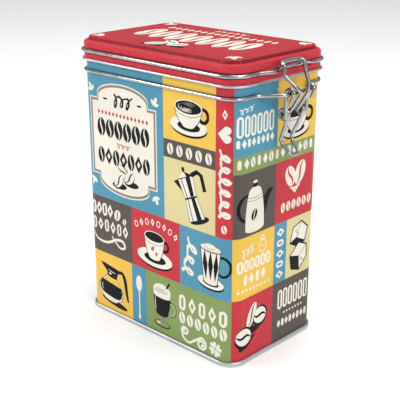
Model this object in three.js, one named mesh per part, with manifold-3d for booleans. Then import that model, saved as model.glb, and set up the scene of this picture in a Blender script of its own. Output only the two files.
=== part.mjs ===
// Coffee tin with a wire clasp: a rectangular tinplate tin with rounded corners and a hinged lid.
//
// Millimetres, +Z up. The wide label face looks along -Y, the clasp is on the +X face and the
// hinge is on the -X face, so every pivot runs along Y. Z = 0 is the rim that the tin stands on.
// In the clasp and hinge, "off" is a distance outwards from the flat wall of the tin.

import * as THREE from 'three';
import { mergeVertices } from 'three/addons/utils/BufferGeometryUtils.js';
import Module from 'manifold-3d';

const wasm = await Module();
wasm.setup();

// ---------------------------------------------------------------- driving dimensions

// The tin's walls, centred on TIN_X so that the whole assembly is centred on the origin.
const TIN_X = -3.6;
const HALF_LENGTH = 58;
const HALF_WIDTH = 36;
const CORNER = 9;
const SHEET = 0.4;
const GAP = 0.3;
const CORNER_STEPS = 6;

// Heights above the surface that the tin stands on.
const PANEL_Z = 2.2;
const BODY_WIRE_Z = 146.5;
const HEM_Z = 152.8;
const NECK_Z = 153.1;
const NECK_TOP_Z = 158.7;
const LID_WIRE_Z = 157.7;
const SHOULDER_Z = 163.2;
const LID_TOP_Z = 165.3;
const BASE_RIM_TOP = 2.6;
const FOOT_Z = 0.9;

// The lid stands outside the wall, and the neck is drawn in under it.
const SKIRT_OFF = 1.1;
const NECK_OFF = -1.2;
const HEM_OFF = 1.6;
const HEM_R = 0.7;
const CURL_R = 0.65;
const SHOULDER_R = 1.6;
const PANEL_OFF = -2.7;
const GASKET = { width: 3.4, thick: 2.7 };

// Wires. Two halves that are joined run on past the middle, so that they overlap.
const WIRE_R = 1;
const WIRE_SIDES = 8;
const BEND_STEP = Math.PI / 8;
const EYE_R = 2 * WIRE_R + GAP;
const COIL_PITCH = 2 * WIRE_R + GAP;
const BODY_WIRE_OFF = 0.65;
const LID_WIRE_OFF = 1.7;
const TIGHT = 1.5;
const PAST_MIDDLE = -0.5;

// Hinge: the lid wire's cross bar turns in two coils of the body wire.
const HINGE_OFF = 4.6;
const HINGE_HALF = 14;
const HINGE_COIL_Y = 10.5;
const HINGE_LEG_OFF = 2;

// Clasp: F is the fixed bar of the body wire and M is the lever's lower pivot. KNEE is the
// lever's bend near the wall, and WAIST is where the link's two sides come together.
const F_OFF = 11.6;
const F_Z = 147.2;
const M_OFF = 7;
const M_Z = 136.2;
const LEVER_HALF = 8.2;
const CATCH_OFF = 4.6;
const CATCH_HALF = 10;
const STRAND_RISE = 1.75;
const HOOK_OFF = 4.9;
const HOOK_Z = 162.0;
const HOOK_HALF = 6.8;
const HOOK_DROP = [{ out: 2.4, wide: 1.4, down: 1.3 }, { out: 3.0, wide: 1.6, down: 6 }];
const STRAND_HALF = 2.6;
const STAND_OFF_Y = [20, 12.5];
const KNEE = { off: 3, half: 4.2, z: 121 };
const FINGER_LOOP = { off: 9.6, half: 3.6, z: 114.6 };
const WAIST = { off: 12.6, half: 5.4, z: 150.6 };

// ---------------------------------------------------------------- shape helpers

const vector = (x, y, z) => new THREE.Vector3(x, y, z);

// A closed mesh with shared vertices, which manifold-3d can join and cut.
function toSolid(geometry) {
  const bare = geometry.clone();
  bare.deleteAttribute('normal');
  bare.deleteAttribute('uv');
  const merged = mergeVertices(bare, 1e-4);
  return new wasm.Manifold(new wasm.Mesh({
    numProp: 3,
    vertProperties: Float32Array.from(merged.attributes.position.array),
    triVerts: Uint32Array.from(merged.index.array),
  }));
}

function toGeometry(solid) {
  const mesh = solid.getMesh();
  const geometry = new THREE.BufferGeometry();
  geometry.setAttribute('position', new THREE.BufferAttribute(mesh.vertProperties, 3));
  geometry.setIndex(new THREE.BufferAttribute(mesh.triVerts, 1));
  geometry.computeVertexNormals();
  return geometry;
}

function joined(geometries) {
  return toGeometry(geometries.map(toSolid).reduce((sum, solid) => sum.add(solid)));
}

// A lathed profile of [off, z] points, pulled apart into the tin's rounded rectangle. Points with
// off = null lie on the tin's own axis. Each corner keeps its own quarter of the lathe, and the
// flat walls are the stretched segments between two quarters.
function aroundTin(profile) {
  const columns = 4 * (CORNER_STEPS + 1);
  const points = profile.map(([off, z]) => new THREE.Vector2(off === null ? 0 : CORNER + off, z));
  const geometry = new THREE.LatheGeometry(points, columns);
  const position = geometry.attributes.position;
  for (let i = 0; i < position.count; i += 1) {
    const column = Math.floor(i / points.length) % columns;
    const { x: radius, y: z } = points[i % points.length];
    const quarter = Math.floor(column / (CORNER_STEPS + 1));
    const step = column % (CORNER_STEPS + 1);
    const angle = (quarter + step / CORNER_STEPS) * Math.PI / 2;
    const sideX = quarter === 0 || quarter === 3 ? 1 : -1;
    const sideY = quarter < 2 ? 1 : -1;
    const spread = radius === 0 ? 0 : 1;
    position.setXYZ(
      i,
      spread * sideX * (HALF_LENGTH - CORNER) + radius * Math.cos(angle),
      spread * sideY * (HALF_WIDTH - CORNER) + radius * Math.sin(angle),
      z,
    );
  }
  return toGeometry(toSolid(geometry));
}

// Points on a round stretch of a profile, as [off, z], from one angle to another in degrees.
function bow(off, z, radius, from, to, steps) {
  return Array.from({ length: steps + 1 }, (_, i) => {
    const angle = THREE.MathUtils.degToRad(from + (to - from) * i / steps);
    return [off + radius * Math.cos(angle), z + radius * Math.sin(angle)];
  });
}

// A wire's centre line: straight runs between [point, bend radius] stops, with round bends.
function bent(stops) {
  const line = [stops[0][0]];
  for (let i = 1; i < stops.length - 1; i += 1) {
    const [corner, radius] = stops[i];
    const back = stops[i - 1][0].clone().sub(corner).normalize();
    const ahead = stops[i + 1][0].clone().sub(corner).normalize();
    const turn = Math.PI - back.angleTo(ahead);
    if (!radius || turn < 0.05) {
      line.push(corner);
      continue;
    }
    const reach = radius * Math.tan(turn / 2);
    const centre = back.clone().add(ahead).normalize()
      .multiplyScalar(radius / Math.cos(turn / 2)).add(corner);
    const start = back.clone().multiplyScalar(reach).add(corner).sub(centre);
    const axis = back.clone().negate().cross(ahead).normalize();
    const steps = Math.max(2, Math.round(turn / BEND_STEP));
    for (let k = 0; k <= steps; k += 1) {
      line.push(start.clone().applyAxisAngle(axis, turn * k / steps).add(centre));
    }
  }
  line.push(stops[stops.length - 1][0]);
  return line;
}

// A helix about a line along Y at (x, z). Angles are in degrees from +X towards +Z.
function coil(x, z, from, to, yFrom, yTo) {
  const steps = Math.round(Math.abs(THREE.MathUtils.degToRad(to - from)) / BEND_STEP);
  return Array.from({ length: steps + 1 }, (_, i) => {
    const angle = THREE.MathUtils.degToRad(from + (to - from) * i / steps);
    const y = yFrom + (yTo - yFrom) * i / steps;
    return vector(x + EYE_R * Math.cos(angle), y, z + EYE_R * Math.sin(angle));
  });
}

// A curve that an ExtrudeGeometry steps along from one given point to the next.
class WireLine extends THREE.Curve {
  constructor(points) {
    super();
    this.points = points;
  }

  getPoint(t, target = vector(0, 0, 0)) {
    const place = t * (this.points.length - 1);
    const index = Math.min(Math.floor(place), this.points.length - 2);
    return target.lerpVectors(this.points[index], this.points[index + 1], place - index);
  }

  getPointAt(t, target) {
    return this.getPoint(t, target);
  }

  getTangent(t, target = vector(0, 0, 0)) {
    const place = Math.round(t * (this.points.length - 1));
    const before = this.points[Math.max(place - 1, 0)];
    const here = this.points[place];
    const after = this.points[Math.min(place + 1, this.points.length - 1)];
    const arriving = here.clone().sub(before).normalize();
    const leaving = after.clone().sub(here).normalize();
    return target.copy(arriving).add(leaving).normalize();
  }

  getTangentAt(t, target) {
    return this.getTangent(t, target);
  }
}

function wire(points) {
  const clean = points.filter((p, i) => i === 0 || p.distanceTo(points[i - 1]) > 0.05);
  const section = new THREE.Shape();
  section.absarc(0, 0, WIRE_R, 0, 2 * Math.PI, false);
  const geometry = new THREE.ExtrudeGeometry(section, {
    curveSegments: WIRE_SIDES / 2,
    steps: clean.length - 1,
    extrudePath: new WireLine(clean),
    bevelEnabled: false,
  });
  return toGeometry(toSolid(geometry));
}

const mirrored = (points) => points.map((p) => vector(p.x, -p.y, p.z)).reverse();

// Places on the clasp side (+X) and the hinge side (-X), measured off the wall.
const claspX = (off) => HALF_LENGTH + off;
const hingeX = (off) => -HALF_LENGTH - off;

// ---------------------------------------------------------------- sheet-metal pieces

// Straight wall with a bead for the wire, a drawn-in neck, and a top edge curled inwards.
function bodyWall() {
  const beadR = WIRE_R + GAP;
  const bead = bow(BODY_WIRE_OFF, BODY_WIRE_Z, beadR, 240, 120, 6);
  const inner = bow(BODY_WIRE_OFF, BODY_WIRE_Z, beadR + SHEET, 128, 232, 6);
  const curl = bow(NECK_OFF - CURL_R, NECK_TOP_Z, CURL_R, 0, 270, 6);
  const inNeck = NECK_OFF - SHEET;
  const drawnFrom = NECK_Z - 0.9;
  const drawnTo = NECK_Z + 0.6;
  return aroundTin([
    [0, FOOT_Z],
    ...bead,
    [0, drawnFrom],
    [NECK_OFF, drawnTo],
    ...curl,
    [inNeck, NECK_TOP_Z - CURL_R],
    [inNeck, drawnTo],
    [-SHEET, drawnFrom],
    ...inner,
    [-SHEET, FOOT_Z],
    [0, FOOT_Z],
  ]);
}

// The folded lock seam stands proud inside the back wall.
function lockSeam() {
  const [wide, thick, place] = [4, 0.8, -20];
  const low = BASE_RIM_TOP + 1.9;
  const high = BODY_WIRE_Z - 3;
  const seam = new THREE.BoxGeometry(wide, thick, high - low);
  seam.translate(place, HALF_WIDTH - SHEET - 0.3, (low + high) / 2);
  return seam;
}

// Pressed base: a recessed panel, and a seamed rim that holds the wall's lower edge in a channel.
function basePanel() {
  const rimOut = 1.3;
  const bevel = 0.5;
  const legOut = -SHEET - GAP;
  const legIn = legOut - SHEET;
  const legTop = PANEL_Z + 1.2;
  const slope = legOut - 1.2;
  const flat = legOut - 2.4;
  const channel = FOOT_Z - GAP;
  return aroundTin([
    [null, PANEL_Z],
    [flat, PANEL_Z],
    [slope, PANEL_Z - 0.6],
    [legIn, PANEL_Z - 1],
    [legIn, 0],
    [rimOut - bevel, 0],
    [rimOut, bevel],
    [rimOut, BASE_RIM_TOP - bevel],
    [rimOut - bevel, BASE_RIM_TOP],
    [GAP, BASE_RIM_TOP],
    [GAP, channel],
    [legOut, channel],
    [legOut, legTop],
    [legIn, legTop],
    [slope, PANEL_Z],
    [flat, PANEL_Z + SHEET],
    [null, PANEL_Z + SHEET],
  ]);
}

// Stepped lid: skirt with a bead for its wire, rounded shoulder and raised panel.
function lidShell() {
  const inSkirt = SKIRT_OFF - SHEET;
  const groove = 0.7;
  const grooveHalf = 1.5;
  const grooveFlat = 0.7;
  const shoulderOff = SKIRT_OFF - SHOULDER_R;
  const shoulderZ = SHOULDER_Z - SHOULDER_R;
  const panelR = 1;
  const step = PANEL_OFF + 1.3;
  return aroundTin([
    [null, LID_TOP_Z - SHEET],
    [PANEL_OFF - 0.1, LID_TOP_Z - SHEET],
    [PANEL_OFF + 0.5, LID_TOP_Z - SHEET - 0.5],
    [step - 0.4, SHOULDER_Z - 0.1],
    [step, SHOULDER_Z - 0.3],
    ...bow(shoulderOff, shoulderZ, SHOULDER_R - SHEET, 75, 0, 4),
    [inSkirt, LID_WIRE_Z + grooveHalf],
    [inSkirt - groove, LID_WIRE_Z + grooveFlat],
    [inSkirt - groove, LID_WIRE_Z - grooveFlat],
    [inSkirt, LID_WIRE_Z - grooveHalf],
    [inSkirt, HEM_Z],
    ...bow(HEM_OFF, HEM_Z, HEM_R, 200, 450, 8),
    [SKIRT_OFF, HEM_Z + 1.5 * HEM_R],
    [SKIRT_OFF, LID_WIRE_Z - grooveHalf],
    [SKIRT_OFF - groove, LID_WIRE_Z - grooveFlat],
    [SKIRT_OFF - groove, LID_WIRE_Z + grooveFlat],
    [SKIRT_OFF, LID_WIRE_Z + grooveHalf],
    ...bow(shoulderOff, shoulderZ, SHOULDER_R, 0, 75, 4),
    [step + 0.4, SHOULDER_Z + 0.1],
    [step, SHOULDER_Z + 0.3],
    ...bow(PANEL_OFF, LID_TOP_Z - panelR, panelR, 15, 90, 4),
    [null, LID_TOP_Z],
  ]);
}

// Flat gasket that sits in the lid and closes on the curled top edge of the neck.
function sealRing() {
  const low = NECK_TOP_Z + CURL_R + GAP;
  const high = low + GASKET.thick;
  return aroundTin([[0, low], [0, high], [-GASKET.width, high], [-GASKET.width, low], [0, low]]);
}

// ---------------------------------------------------------------- wires

// From the hinge's middle, round one side of the lid, to the catch that the hook pulls on.
// Its two ends lie one above the other across the catch and are welded there.
function lidWireHalf(side, rise, end) {
  const ring = LID_WIRE_OFF;
  const along = (x, y, z) => vector(x, side * y, z);
  return bent([
    [along(hingeX(HINGE_OFF), PAST_MIDDLE, BODY_WIRE_Z), 0],
    [along(hingeX(HINGE_OFF), HINGE_HALF, BODY_WIRE_Z), 1.8],
    [along(hingeX(HINGE_OFF - 0.6), HINGE_HALF + 0.4, LID_WIRE_Z - 2.4), TIGHT],
    [along(hingeX(ring), HINGE_HALF + 2.6, LID_WIRE_Z), TIGHT],
    [along(hingeX(ring), HALF_WIDTH + ring, LID_WIRE_Z), CORNER + ring],
    [along(claspX(ring), HALF_WIDTH + ring, LID_WIRE_Z), CORNER + ring],
    [along(claspX(ring), CATCH_HALF + 11, LID_WIRE_Z), 6],
    [along(claspX(CATCH_OFF), CATCH_HALF + 3, LID_WIRE_Z + rise), 4],
    [along(claspX(CATCH_OFF), end, LID_WIRE_Z + rise), 0],
  ]);
}

function lidWire() {
  return joined([
    wire(lidWireHalf(-1, 0, -CATCH_HALF)),
    wire(lidWireHalf(1, STRAND_RISE, -CATCH_HALF)),
  ]);
}

// From the middle of the hinge, through a coil, round one side of the body, to the fixed bar.
function bodyWireHalf() {
  const ring = BODY_WIRE_OFF;
  const high = BODY_WIRE_Z + EYE_R;
  const low = BODY_WIRE_Z - EYE_R;
  const shift = 1.5 * COIL_PITCH;
  const inner = HINGE_COIL_Y - shift;
  const [standFrom, standTo] = STAND_OFF_Y;
  return [
    ...bent([
      [vector(hingeX(HINGE_LEG_OFF), PAST_MIDDLE, high), 0],
      [vector(hingeX(HINGE_LEG_OFF), inner, high), TIGHT],
      [vector(hingeX(HINGE_OFF), inner, high), 0],
    ]),
    ...coil(hingeX(HINGE_OFF), BODY_WIRE_Z, 90, 630, inner, HINGE_COIL_Y),
    ...bent([
      [vector(hingeX(HINGE_OFF), HINGE_COIL_Y, low), 0],
      [vector(hingeX(HINGE_LEG_OFF), HINGE_COIL_Y, low), 1.4],
      [vector(hingeX(ring + 0.6), HINGE_COIL_Y + 4, low), 2],
      [vector(hingeX(ring), HINGE_COIL_Y + 9, BODY_WIRE_Z), 4],
      [vector(hingeX(ring), HALF_WIDTH + ring, BODY_WIRE_Z), CORNER + ring],
      [vector(claspX(ring), HALF_WIDTH + ring, BODY_WIRE_Z), CORNER + ring],
      [vector(claspX(ring), standFrom, BODY_WIRE_Z), 5],
      [vector(claspX(F_OFF), standTo, F_Z), 2.5],
      [vector(claspX(F_OFF), PAST_MIDDLE, F_Z), 0],
    ]),
  ];
}

function bodyWire() {
  const half = bodyWireHalf();
  return joined([wire(half), wire(mirrored(half))]);
}

// Hook loop over the catch, two close strands past the fixed bar, and pins out through the coils.
function linkHalf() {
  const [over, beside] = HOOK_DROP.map(({ out, wide, down }) => (
    vector(claspX(HOOK_OFF + out), HOOK_HALF + wide, HOOK_Z - down)
  ));
  return bent([
    [vector(claspX(HOOK_OFF), 0, HOOK_Z), 0],
    [vector(claspX(HOOK_OFF), HOOK_HALF + 0.8, HOOK_Z), 1.8],
    [over, TIGHT],
    [beside, 4],
    [vector(claspX(WAIST.off), WAIST.half, WAIST.z), 5],
    [vector(claspX(F_OFF + 2.9), STRAND_HALF, F_Z), 2.5],
    [vector(claspX(M_OFF + 2.6), STRAND_HALF, M_Z + 3.4), 2],
    [vector(claspX(M_OFF), STRAND_HALF + 0.6, M_Z), 1.4],
    [vector(claspX(M_OFF), LEVER_HALF + 2.4, M_Z), 0],
  ]);
}

function link() {
  const half = linkHalf();
  return wire([...mirrored(half), ...half.slice(1)]);
}

// Tail, eye over the fixed bar, leg, coil round the link's pin, and half of the finger loop.
function leverHalf() {
  const high = LEVER_HALF;
  const low = LEVER_HALF - COIL_PITCH;
  return [
    vector(claspX(F_OFF + EYE_R - 1.6), high, F_Z - 4.4),
    ...coil(claspX(F_OFF), F_Z, -15, 180, high, high),
    ...coil(claspX(M_OFF), M_Z, 0, -383, high, low),
    ...bent([
      [vector(claspX(M_OFF + EYE_R - 0.6), low, M_Z - 2.2), 0],
      [vector(claspX(KNEE.off), KNEE.half, KNEE.z), 4],
      [vector(claspX(FINGER_LOOP.off), FINGER_LOOP.half, FINGER_LOOP.z), 2.4],
      [vector(claspX(FINGER_LOOP.off), 0, FINGER_LOOP.z), 0],
    ]),
  ];
}

function lever() {
  const half = leverHalf();
  return wire([...half, ...mirrored(half).slice(1)]);
}

// ---------------------------------------------------------------- assembly

const tinplate = (color) => new THREE.MeshStandardMaterial({ color, roughness: 0.35, metalness: 0.3 });
const bareSteel = () => new THREE.MeshStandardMaterial({ color: 0xc4c6c8, roughness: 0.3, metalness: 1 });
const silicone = () => new THREE.MeshStandardMaterial({ color: 0xe6e4dc, roughness: 0.6, metalness: 0 });

function piece(name, geometry, material) {
  const mesh = new THREE.Mesh(geometry, material);
  mesh.name = name;
  return mesh;
}

const tin = new THREE.Group();
tin.position.x = TIN_X;
tin.add(
  piece('body_wall', joined([bodyWall(), lockSeam()]), tinplate(0x5b9bb4)),
  piece('base_panel', basePanel(), bareSteel()),
  piece('lid_shell', lidShell(), tinplate(0xcd424b)),
  piece('seal_ring', sealRing(), silicone()),
  piece('lid_wire', lidWire(), bareSteel()),
  piece('body_wire', bodyWire(), bareSteel()),
  piece('link', link(), bareSteel()),
  piece('lever', lever(), bareSteel()),
);

const coffeeTin = new THREE.Group();
coffeeTin.add(tin);

export default coffeeTin;
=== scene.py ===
"""Coffee tin: printed sheet metal and bright wires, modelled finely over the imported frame.

Shapes are worked out in millimetres about the tin's own axis and become metres in Skin.piece.
A place on the wall is (s, t): s runs round the tin from the middle of the front label face, and
t runs up the wall from its lower edge, over the bead and up the neck.
"""
import math
import bpy
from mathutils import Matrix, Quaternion, Vector
from mathutils.geometry import delaunay_2d_cdt


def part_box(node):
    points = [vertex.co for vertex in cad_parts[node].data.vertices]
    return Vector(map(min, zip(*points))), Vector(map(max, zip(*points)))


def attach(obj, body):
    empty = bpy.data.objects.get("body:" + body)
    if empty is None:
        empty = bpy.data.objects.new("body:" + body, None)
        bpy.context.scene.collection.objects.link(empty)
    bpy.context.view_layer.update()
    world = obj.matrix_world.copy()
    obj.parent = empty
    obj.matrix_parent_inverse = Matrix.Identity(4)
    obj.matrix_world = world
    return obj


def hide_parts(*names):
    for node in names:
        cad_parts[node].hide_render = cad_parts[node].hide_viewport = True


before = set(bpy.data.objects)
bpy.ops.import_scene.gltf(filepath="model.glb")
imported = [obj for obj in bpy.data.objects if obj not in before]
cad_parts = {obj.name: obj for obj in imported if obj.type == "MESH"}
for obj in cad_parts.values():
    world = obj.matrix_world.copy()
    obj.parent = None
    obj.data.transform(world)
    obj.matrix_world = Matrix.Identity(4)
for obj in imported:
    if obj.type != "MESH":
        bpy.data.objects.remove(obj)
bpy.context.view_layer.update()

# ---------------------------------------------------------------- driving dimensions

MM = 0.001
wall_low, wall_high = (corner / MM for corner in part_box("body_wall"))
TIN_X = round((wall_low.x + wall_high.x) / 2, 3)
HALF_LENGTH = round((wall_high.x - wall_low.x) / 2, 3)
HALF_WIDTH = round((wall_high.y - wall_low.y) / 2, 3)
LID_TOP_Z = round(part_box("lid_shell")[1].z / MM, 3)

CORNER = 9
SHEET = 0.4
GAP = 0.3
FOOT_Z = 0.9
PANEL_Z = 2.2
BODY_WIRE_Z = 146.5
HEM_Z = 152.8
NECK_Z = 153.1
NECK_TOP_Z = 158.7
LID_WIRE_Z = 157.7
SHOULDER_Z = 163.2
SHOULDER_R = 1.6
PANEL_OFF = -2.7
CURL_R = 0.65
GASKET_WIDE = 3.4
GASKET_THICK = 2.7
SKIRT_OFF = 1.1
NECK_OFF = -1.2
HEM_OFF = 1.6
HEM_R = 0.7

WIRE_R = 1
TIGHT = 1.5
EYE_R = 2 * WIRE_R + GAP
COIL_PITCH = 2 * WIRE_R + GAP
BODY_WIRE_OFF = 0.65
LID_WIRE_OFF = 1.7
HINGE_OFF = 4.6
HINGE_HALF = 14
HINGE_COIL_Y = 10.5
HINGE_LEG_OFF = 2
PAST_MIDDLE = 0.5
F_OFF = 11.6
F_Z = 147.2
M_OFF = 7
M_Z = 136.2
LEVER_HALF = 8.2
CATCH_OFF = 4.6
CATCH_HALF = 10
STRAND_RISE = 1.75
HOOK_OFF = 4.9
HOOK_Z = 162.0
HOOK_HALF = 6.8
HOOK_DROP = (2.4, 1.4, 1.3), (3, 1.6, 6)
STRAND_HALF = 2.6
STAND_OFF_Y = 20, 12.5

# Bends of the clasp's wires, as (off, half, z): WAIST is the link's, the others are the lever's.
WAIST = 12.6, 5.4, 150.6
KNEE = 3, 4.2, 121
FINGER_LOOP = 9.6, 3.6, 114.6

# The cut end of a wire is rounded over this length, down to this part of its radius. Points of
# a wire that are closer than SAME are one point.
END_LONG, END_THIN = 0.15, 0.8
SAME = 0.05

# Fineness of the meshes.
CORNER_STEPS = 12
WIRE_SIDES = 20
BEND_STEP = math.radians(7.5)
SHARP = math.radians(40)

# The side of the squares by which printed shapes are looked up.
CELL = 4

# The walls unrolled: half of each flat run, the arc of a corner, and the whole way round.
RUN_X = HALF_LENGTH - CORNER
RUN_Y = HALF_WIDTH - CORNER
ARC = CORNER * math.pi / 2
ROUND = 4 * (RUN_X + RUN_Y + ARC)
WIDE_END = RUN_X + ARC / 2
NARROW_END = RUN_Y + ARC / 2
NARROW_S = WIDE_END + NARROW_END

# The print's rows, as heights.
ROW_1 = 73.5
ROW_2 = 38.5
BAR_LOW, BAR_HIGH = 109.1, 119.0
STRIP_LOW, STRIP_HIGH = 108.0, 117.0

BUMP_DEPTH = 0.0002

# Print colours, as ordinary screen values. The lid panel's red and the lid valley's red are the lid's red
# painted darker, as painted shade.
INKS = {
    "blue": (88, 153, 179),
    "yellow": (243, 199, 88),
    "red": (203, 62, 72),
    "grey": (96, 88, 82),
    "sand": (226, 213, 158),
    "green": (140, 160, 100),
    "cream": (241, 237, 223),
    "black": (24, 24, 27),
    "rule": (150, 138, 128),
    "lid": (206, 62, 72),
    # Painted shade: the lid's red made darker for the top panel, standing in for the top's darker look.
    "lid_panel": (186, 50, 58),
    # Painted shade: a darker red along the foot of the panel's riser, standing in for the shade in the
    # lid's valley.
    "lid_valley": (138, 38, 46),
}


# ---------------------------------------------------------------- meshes

class Skin:
    """Points, faces, materials and corner normals of one piece, in millimetres."""

    def __init__(self, name):
        self.name = name
        self.points = []
        self.known = {}
        self.faces = []
        self.normals = []
        self.finishes = []

    def point(self, place):
        key = tuple(round(value, 5) for value in place)
        if key not in self.known:
            self.known[key] = len(self.points)
            self.points.append(Vector(place))
        return self.known[key]

    def face(self, corners, normals, ink):
        kept = [i for i, corner in enumerate(corners) if corner != corners[i - 1]]
        if len(kept) > 2:
            self.faces.append([corners[i] for i in kept])
            self.normals += [normals[i] for i in kept]
            self.finishes.append(ink)

    def piece(self, body, node, slot):
        """Makes the Blender object, which rides on a body and stands for a CAD node."""
        mesh = bpy.data.meshes.new(self.name)
        middle = Vector((TIN_X, 0, 0))
        mesh.from_pydata([(place + middle) * MM for place in self.points], [], self.faces)
        names = sorted(set(self.finishes))
        for name in names:
            mesh.materials.append(finish(name))
        mesh.polygons.foreach_set("material_index", [names.index(name) for name in self.finishes])
        mesh.polygons.foreach_set("use_smooth", [True] * len(self.faces))
        mesh.update()
        mesh.normals_split_custom_set(self.normals)
        thing = bpy.data.objects.new(self.name, mesh)
        bpy.context.scene.collection.objects.link(thing)
        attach(thing, body)
        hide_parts(node)
        return thing


def around(s):
    """The foot of the wall's surface and its outward direction, s millimetres round the tin."""
    s = (s + RUN_X) % ROUND
    for side in range(4):
        facing = math.radians(90 * side - 90)
        out = Vector((math.cos(facing), math.sin(facing), 0))
        along = Vector((-out.y, out.x, 0))
        run, reach = (RUN_X, HALF_WIDTH) if side % 2 == 0 else (RUN_Y, HALF_LENGTH)
        if s <= 2 * run:
            return out * reach + along * (s - run), out
        s -= 2 * run
        if s <= ARC:
            turned = out * math.cos(s / CORNER) + along * math.sin(s / CORNER)
            return out * (reach - CORNER) + along * run + turned * CORNER, turned
        s -= ARC
    return around(0)


def corner_columns():
    """Places round the tin that every ring has: fine steps round the four corners."""
    columns = []
    middle = -RUN_X
    for side in range(4):
        start = middle + 2 * (RUN_X if side % 2 == 0 else RUN_Y)
        columns += [start + ARC * step / CORNER_STEPS for step in range(CORNER_STEPS + 1)]
        middle = start + ARC
    return columns


class Profile:
    """A section of sheet metal as [off, z] points, the outside going up and the inside down."""

    def __init__(self, points, closed=False):
        self.points = [Vector(point) for point in points]
        self.closed = closed
        self.count = len(points) if closed else len(points) - 1
        self.lengths = [0]
        for i in range(self.count):
            self.lengths.append(self.lengths[-1] + self.step(i).length)

    def at(self, i):
        return self.points[i % len(self.points)]

    def step(self, i):
        return self.at(i + 1) - self.at(i)

    def straight(self, i):
        way = self.step(i).normalized()
        return Vector((way.y, -way.x))

    def normal(self, i, end):
        """The normal of segment i at its start (end = 0) or finish (end = 1)."""
        own = self.straight(i)
        beside = i - 1 if end == 0 else i + 1
        if not self.closed and not 0 <= beside < self.count:
            return own
        other = self.straight(beside % self.count)
        return (own + other).normalized() if own.angle(other) < SHARP else own

    def where(self, length):
        """The [off, z] place that is a given length along the profile, with its segment."""
        i = 0
        while i < self.count - 1 and length >= self.lengths[i + 1]:
            i += 1
        return self.at(i) + self.step(i).normalized() * (length - self.lengths[i]), i


def raised(out, place):
    """An [off, z] pair as a vector, for a place on the wall that faces out."""
    return out * place.x + Vector((0, 0, place.y))


def loft(skin, profile, columns, finish_of):
    """Sweeps a profile round the tin. finish_of gives a segment's material name."""
    for i in range(profile.count):
        low = profile.at(i), profile.normal(i, 0)
        high = profile.at(i + 1), profile.normal(i, 1)
        for k in range(len(columns)):
            left, right = around(columns[k]), around(columns[(k + 1) % len(columns)])
            corners, normals = [], []
            for (foot, out), (place, lean) in ((left, low), (right, low), (right, high), (left, high)):
                corners.append(skin.point(foot + raised(out, place)))
                normals.append(raised(out, lean))
            skin.face(corners, normals, finish_of(i))


def flat_panel(skin, off, z, columns, up, finish_name):
    """A flat panel that closes a ring."""
    ring = [skin.point(foot + raised(out, Vector((off, z)))) for foot, out in map(around, columns)]
    if not up:
        ring.reverse()
    skin.face(ring, [Vector((0, 0, 1 if up else -1))] * len(ring), finish_name)


def bow(off, z, radius, start, stop, steps):
    """Points on a round stretch of a profile, from one angle to another in degrees."""
    angles = [math.radians(start + (stop - start) * i / steps) for i in range(steps + 1)]
    return [(off + radius * math.cos(a), z + radius * math.sin(a)) for a in angles]


# ---------------------------------------------------------------- flat artwork

def covers(outline, x, y):
    """True where a place lies inside an outline."""
    odd = False
    for (x0, y0), (x1, y1) in zip(outline, outline[1:] + outline[:1]):
        if (y0 > y) != (y1 > y) and x < x0 + (y - y0) * (x1 - x0) / (y1 - y0):
            odd = not odd
    return odd


def triangulated(edge, lines, shapes):
    """Cuts a region into triangles that follow printed shapes.

    edge is the region's outline, lines are cuts right across it, and shapes are (ink, outline)
    pairs in the order of printing. Returns places, triangles and the ink of each triangle.
    """
    places, cuts, cells = [], [], {}
    for outline in [edge] + [shape[1] for shape in shapes]:
        first = len(places)
        places += [Vector(place) for place in outline]
        cuts += [(first + i, first + (i + 1) % len(outline)) for i in range(len(outline))]
    for line in lines:
        cuts.append((len(places), len(places) + 1))
        places += [Vector(place) for place in line]
    for number, (_, outline) in enumerate(shapes):
        across = [int(x // CELL) for x, _ in outline]
        up = [int(y // CELL) for _, y in outline]
        for i in range(min(across), max(across) + 1):
            for j in range(min(up), max(up) + 1):
                cells.setdefault((i, j), []).append(number)
    result = delaunay_2d_cdt(places, cuts, [], 0, 1e-4, False)
    inks = []
    for triangle in result[2]:
        x, y = (sum(result[0][i][k] for i in triangle) / 3 for k in (0, 1))
        found = [n for n in cells.get((int(x // CELL), int(y // CELL)), []) if covers(shapes[n][1], x, y)]
        inks.append(shapes[found[-1] if found else 0][0])
    return result[0], result[2], inks


def steps(count):
    return [i / (count - 1) for i in range(count)]


def bend(x, y, rx, ry, start, stop, count):
    angles = [math.radians(start + (stop - start) * t) for t in steps(count)]
    return [(x + rx * math.cos(a), y + ry * math.sin(a)) for a in angles]


def oval(x, y, rx, ry):
    return bend(x, y, rx, ry, 0, 360, 11 + 2 * int(max(rx, ry)))[:-1]


def block(x0, y0, x1, y1):
    return [(x0, y0), (x1, y0), (x1, y1), (x0, y1)]


def lozenge(x, y, rx, ry):
    return [(x - rx, y), (x, y - ry), (x + rx, y), (x, y + ry)]


def vessel(sides, flat=0.3):
    """A round vessel's outline from (height, half width) pairs, top first, with a rounded foot."""
    low, foot = sides[-1]
    left = [(-wide, high) for high, wide in sides[:-1]]
    right = [(wide, high) for high, wide in reversed(sides[:-1])]
    return left + bend(0, low, foot, foot * flat, 180, 360, 9) + right


def curve(points, count=6):
    """A smooth line through a few points."""
    line = []
    padded = [points[0]] + list(points) + [points[-1]]
    for near in zip(padded, padded[1:], padded[2:], padded[3:]):
        for t in steps(count + 1)[:-1]:
            weights = (
                -t**3 + 2 * t**2 - t,
                3 * t**3 - 5 * t**2 + 2,
                -3 * t**3 + 4 * t**2 + t,
                t**3 - t**2,
            )
            line.append(tuple(sum(w * p[k] for w, p in zip(weights, near)) / 2 for k in (0, 1)))
    return line + [points[-1]]


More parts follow.
